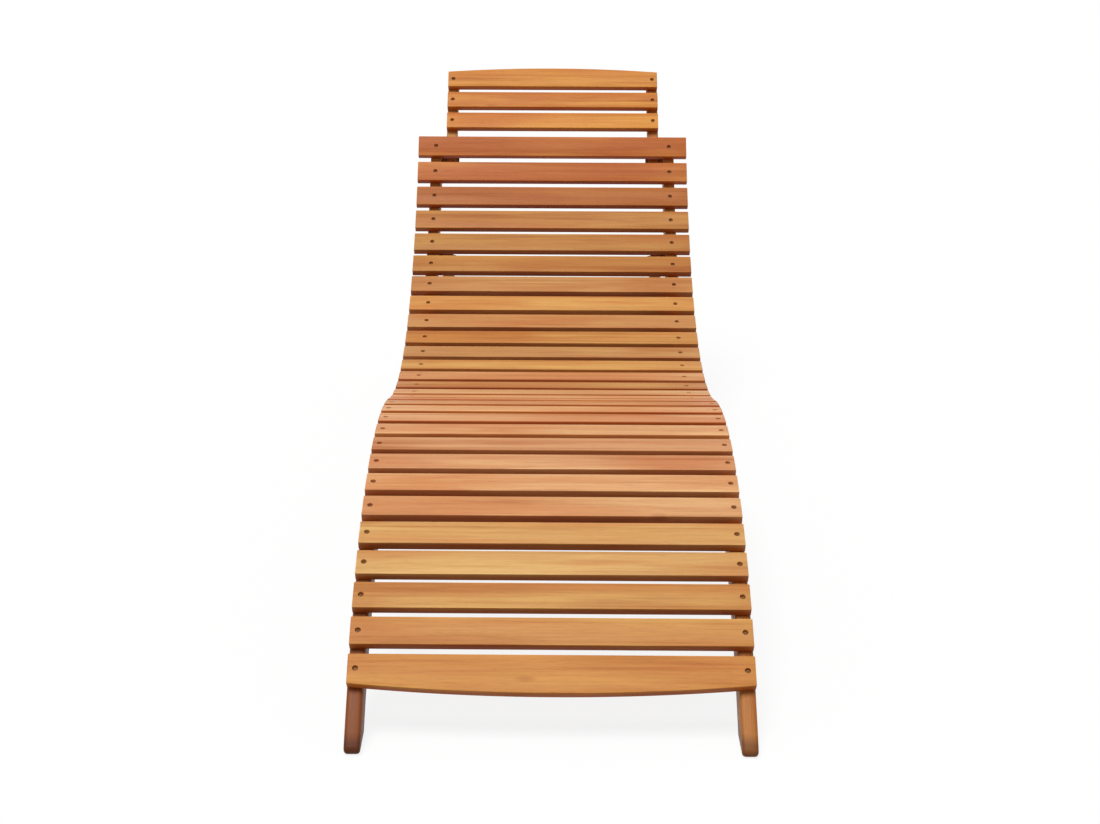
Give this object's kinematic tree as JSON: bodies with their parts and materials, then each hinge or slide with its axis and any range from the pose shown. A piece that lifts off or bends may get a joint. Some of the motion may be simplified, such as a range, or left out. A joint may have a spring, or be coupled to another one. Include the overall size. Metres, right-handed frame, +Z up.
{
  "type": "folding garden chaise lounge",
  "caption": "Slatted wooden garden lounger on S-curved rails, with a folding back section, a hinged headrest and folding legs.",
  "frame": {"origin": "centre of the bounding box's base, on the floor", "axes": "+Y from the foot end to the head end, +X across, +Z up"},
  "size_m": [0.55, 1.8154, 0.6513],
  "materials": {
    "oiled_wood": "oiled, satin",
    "dark_steel": "dark, satin"
  },
  "bodies": {
    "leg_section": {"leg_rail_left": "oiled_wood", "leg_rail_right": "oiled_wood", "leg_slat_01": "oiled_wood", "leg_slat_02": "oiled_wood", "leg_slat_03": "oiled_wood", "leg_slat_04": "oiled_wood", "leg_slat_05": "oiled_wood", "leg_slat_06": "oiled_wood", "leg_slat_07": "oiled_wood", "leg_slat_08": "oiled_wood", "leg_slat_09": "oiled_wood", "leg_slat_10": "oiled_wood", "leg_slat_11": "oiled_wood", "leg_slat_12": "oiled_wood", "leg_slat_13": "oiled_wood", "leg_slat_14": "oiled_wood", "seat_pivot_bolt_left": "dark_steel", "seat_pivot_bolt_right": "dark_steel", "rail_washer_left": "dark_steel", "rail_washer_right": "dark_steel"},
    "back_section": {"back_rail_left": "oiled_wood", "back_rail_right": "oiled_wood", "back_slat_01": "oiled_wood", "back_slat_02": "oiled_wood", "back_slat_03": "oiled_wood", "back_slat_04": "oiled_wood", "back_slat_05": "oiled_wood", "back_slat_06": "oiled_wood", "back_slat_07": "oiled_wood", "back_slat_08": "oiled_wood", "back_slat_09": "oiled_wood", "back_slat_10": "oiled_wood", "back_slat_11": "oiled_wood", "back_slat_12": "oiled_wood", "back_slat_13": "oiled_wood", "back_slat_14": "oiled_wood", "back_slat_15": "oiled_wood", "back_slat_16": "oiled_wood", "rear_leg_bolt_left": "dark_steel", "rear_leg_bolt_right": "dark_steel", "headrest_bolt_left": "dark_steel", "headrest_bolt_right": "dark_steel", "seat_leg_spacer_left": "dark_steel", "seat_leg_spacer_right": "dark_steel", "rear_leg_spacer_left": "dark_steel", "rear_leg_spacer_right": "dark_steel", "headrest_spacer_left": "dark_steel", "headrest_spacer_right": "dark_steel"},
    "headrest": {"headrest_rail_left": "oiled_wood", "headrest_rail_right": "oiled_wood", "headrest_slat_01": "oiled_wood", "headrest_slat_02": "oiled_wood", "headrest_slat_03": "oiled_wood"},
    "rear_legs": {"rear_leg_left": "oiled_wood", "rear_leg_right": "oiled_wood", "rear_leg_stretcher": "oiled_wood"},
    "seat_legs": {"seat_leg_left": "oiled_wood", "seat_leg_right": "oiled_wood", "seat_leg_stretcher": "oiled_wood"}
  },
  "joints": [
    {"name": "back_fold", "type": "hinge", "parent": "leg_section", "child": "back_section", "pos_m": [0, -0.11074, 0.2], "axis": [-1, 0, 0], "range_deg": [0, 179]},
    {"name": "headrest_fold", "type": "hinge", "parent": "back_section", "child": "headrest", "pos_m": [0, 0.75165, 0.48195], "axis": [-1, 0, 0], "range_deg": [0, 180]},
    {"name": "rear_leg_fold", "type": "hinge", "parent": "back_section", "child": "rear_legs", "pos_m": [0, 0.58545, 0.31312], "axis": [-1, 0, 0], "range_deg": [0, 84]},
    {"name": "seat_leg_fold", "type": "hinge", "parent": "back_section", "child": "seat_legs", "pos_m": [0, -0.11074, 0.2], "axis": [-1, 0, 0], "range_deg": [-69, 0]}
  ],
  "couplings": [
    {"joint": "rear_leg_fold", "follows": "back_fold", "ratio": 0.4659},
    {"joint": "seat_leg_fold", "follows": "back_fold", "ratio": -0.3804}
  ]
}
